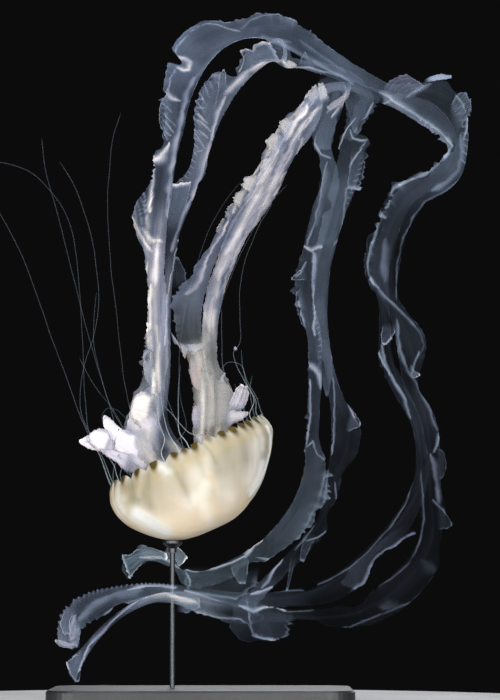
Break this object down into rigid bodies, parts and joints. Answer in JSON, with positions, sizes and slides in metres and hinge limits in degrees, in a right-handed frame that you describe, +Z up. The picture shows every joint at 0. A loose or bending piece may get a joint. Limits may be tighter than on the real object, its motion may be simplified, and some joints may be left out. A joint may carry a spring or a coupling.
{
  "type": "sea nettle jellyfish display model",
  "caption": "Life-size sea nettle jellyfish with an upturned cream bell, brown-tipped lappets, long frilled oral arms and thin tentacles, on a plain rod stand.",
  "frame": {"origin": "middle of the model's box, on the floor under the stand's base", "axes": "+Z up, +X to the viewer's right and -Y toward the viewer, as the animal is shown; +Z is also the longest extent"},
  "size_m": [0.5272, 0.1894, 0.6967],
  "materials": {
    "bell": "moist translucent cream jelly, cast clear resin look, satin gloss",
    "margin": "translucent jelly with olive-brown lappet tips, satin gloss",
    "arms": "very thin translucent frilled film, lavender white along ribs and edges",
    "tentacles": "translucent pale thread, satin",
    "base": "black cast acrylic, softly polished with rounded edges",
    "steel": "fine brushed stainless steel"
  },
  "bodies": {
    "root": {"bell": "bell", "bell_margin": "margin", "manubrium": "arms", "arm_1_length_1": "arms", "arm_1_length_2": "arms", "arm_1_length_3": "arms", "arm_1_length_4": "arms", "arm_1_length_5": "arms", "arm_2_length_1": "arms", "arm_2_length_2": "arms", "arm_2_length_3": "arms", "arm_2_length_4": "arms", "arm_2_length_5": "arms", "arm_3_length_1": "arms", "arm_3_length_2": "arms", "arm_3_length_3": "arms", "arm_3_length_4": "arms", "arm_3_length_5": "arms", "arm_4_length_1": "arms", "arm_4_length_2": "arms", "arm_4_length_3": "arms", "arm_4_length_4": "arms", "arm_4_length_5": "arms", "tentacle_01_root": "tentacles", "tentacle_01_tip": "tentacles", "tentacle_02_root": "tentacles", "tentacle_02_tip": "tentacles", "tentacle_03_root": "tentacles", "tentacle_03_tip": "tentacles", "tentacle_04_root": "tentacles", "tentacle_04_tip": "tentacles", "tentacle_05": "tentacles", "tentacle_06": "tentacles", "tentacle_07": "tentacles", "tentacle_08_root": "tentacles", "tentacle_08_tip": "tentacles", "tentacle_09": "tentacles", "tentacle_10": "tentacles", "tentacle_11": "tentacles", "tentacle_12": "tentacles", "tentacle_13": "tentacles", "tentacle_14": "tentacles", "tentacle_15": "tentacles", "tentacle_16": "tentacles", "tentacle_17_root": "tentacles", "tentacle_17_tip": "tentacles", "tentacle_18_root": "tentacles", "tentacle_18_tip": "tentacles", "tentacle_19": "tentacles", "tentacle_20": "tentacles", "tentacle_21": "tentacles", "tentacle_22": "tentacles", "tentacle_23": "tentacles", "tentacle_24": "tentacles", "stand_base": "base", "stand_cup": "steel", "stand_rod": "steel"}
  },
  "joints": []
}
